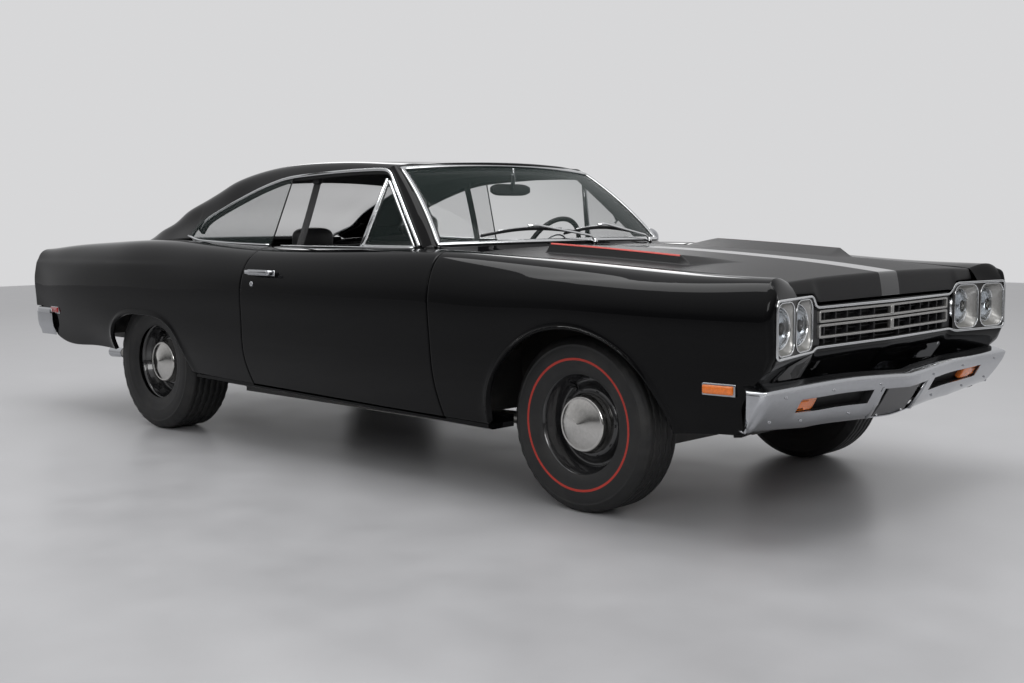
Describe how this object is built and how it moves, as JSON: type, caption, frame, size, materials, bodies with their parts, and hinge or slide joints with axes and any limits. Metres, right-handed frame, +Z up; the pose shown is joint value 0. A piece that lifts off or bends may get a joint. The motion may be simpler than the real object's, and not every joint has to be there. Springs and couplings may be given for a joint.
{
  "type": "two-door hardtop muscle car",
  "caption": "Black two-door pillarless hardtop with a long hood, raised twin scoops, wrapped chrome bumpers, opening doors, hood and trunk, steered front wheels.",
  "frame": {"origin": "on the ground under the centre of the car's outer box", "axes": "+X forward, +Y to the car's left, +Z up"},
  "size_m": [5.1505, 1.941, 1.385],
  "materials": {
    "body_paint": "gloss",
    "hood_paint": "matte",
    "chrome": "polished",
    "grille_metal": "satin",
    "lamp_glass": "clear",
    "amber_lens": "clear",
    "red_lens": "clear",
    "window_glass": "clear",
    "tyre": "matte",
    "wheel_paint": "gloss",
    "seat_vinyl": "grained",
    "black_plastic": "matte",
    "engine_iron": "painted",
    "chassis_steel": "satin",
    "exhaust_steel": "satin"
  },
  "bodies": {
    "body": {"cowl": "body_paint", "dashboard": "black_plastic", "driveshaft": "exhaust_steel", "engine": "engine_iron", "exhaust": "exhaust_steel", "fender_left": "body_paint", "fender_right": "body_paint", "firewall": "chassis_steel", "floor_pan": "chassis_steel", "front_bumper": "chrome", "front_seat": "seat_vinyl", "front_structure": "chassis_steel", "front_suspension": "chassis_steel", "fuel_tank": "exhaust_steel", "grille": "grille_metal", "headlamps": "lamp_glass", "lamp_bezels": "grille_metal", "leaf_springs": "chassis_steel", "nose_panels": "body_paint", "quarter_glass": "window_glass", "quarter_panel_left": "body_paint", "quarter_panel_right": "body_paint", "radiator": "chassis_steel", "rear_axle": "chassis_steel", "rear_bumper": "chrome", "rear_floor": "chassis_steel", "rear_seat": "seat_vinyl", "rear_window": "window_glass", "roof": "body_paint", "sills": "body_paint", "tail_lamps": "red_lens", "tail_panel": "body_paint", "turn_signals": "amber_lens", "windshield": "window_glass"},
    "hood": {"hood": "hood_paint"},
    "trunk_lid": {"trunk_lid": "body_paint"},
    "door_left": {"door_left": "body_paint", "vent_window_left": "window_glass", "side_mirror": "chrome"},
    "door_right": {"door_right": "body_paint", "vent_window_right": "window_glass"},
    "steering_wheel": {"steering_wheel": "black_plastic"},
    "knuckle_left": {"knuckle_left": "chassis_steel"},
    "knuckle_right": {"knuckle_right": "chassis_steel"},
    "front_wheel_left": {"tyre_front_left": "tyre", "wheel_front_left": "wheel_paint"},
    "front_wheel_right": {"tyre_front_right": "tyre", "wheel_front_right": "wheel_paint"},
    "rear_wheel_left": {"tyre_rear_left": "tyre", "wheel_rear_left": "wheel_paint"},
    "rear_wheel_right": {"tyre_rear_right": "tyre", "wheel_rear_right": "wheel_paint"}
  },
  "joints": [
    {"name": "steer_right", "type": "hinge", "parent": "body", "child": "knuckle_right", "pos_m": [1.663, -0.665, 0.334], "axis": [0, 0, 1], "range_deg": [-33, 33]},
    {"name": "steer_left", "type": "hinge", "parent": "body", "child": "knuckle_left", "pos_m": [1.663, 0.665, 0.334], "axis": [0, 0, 1], "range_deg": [-33, 33]},
    {"name": "steering_wheel_turn", "type": "hinge", "parent": "body", "child": "steering_wheel", "pos_m": [0.42, 0.372, 0.925], "axis": [-0.9063, 0, 0.4226], "range_deg": [-530, 530]},
    {"name": "front_left_spin", "type": "hinge", "parent": "knuckle_left", "child": "front_wheel_left", "pos_m": [1.663, 0.756, 0.334], "axis": [0, 1, 0], "continuous": true},
    {"name": "front_right_spin", "type": "hinge", "parent": "knuckle_right", "child": "front_wheel_right", "pos_m": [1.663, -0.756, 0.334], "axis": [0, 1, 0], "continuous": true},
    {"name": "rear_left_spin", "type": "hinge", "parent": "body", "child": "rear_wheel_left", "pos_m": [-1.283, 0.752, 0.354], "axis": [0, 1, 0], "continuous": true},
    {"name": "rear_right_spin", "type": "hinge", "parent": "body", "child": "rear_wheel_right", "pos_m": [-1.283, -0.752, 0.354], "axis": [0, 1, 0], "continuous": true},
    {"name": "door_left_hinge", "type": "hinge", "parent": "body", "child": "door_left", "pos_m": [0.847, 0.9405, 0.62], "axis": [0, 0, -1], "range_deg": [0, 60]},
    {"name": "door_right_hinge", "type": "hinge", "parent": "body", "child": "door_right", "pos_m": [0.847, -0.9405, 0.62], "axis": [0, 0, 1], "range_deg": [0, 60]},
    {"name": "hood_hinge", "type": "hinge", "parent": "body", "child": "hood", "pos_m": [1.017, 0, 0.955], "axis": [0, -1, 0], "range_deg": [0, 50]},
    {"name": "trunk_hinge", "type": "hinge", "parent": "body", "child": "trunk_lid", "pos_m": [-1.729, 0, 0.949], "axis": [0, 1, 0], "range_deg": [0, 65]}
  ],
  "couplings": [
    {"joint": "steer_left", "follows": "steer_right", "ratio": 1},
    {"joint": "steering_wheel_turn", "follows": "steer_right", "ratio": 16}
  ]
}
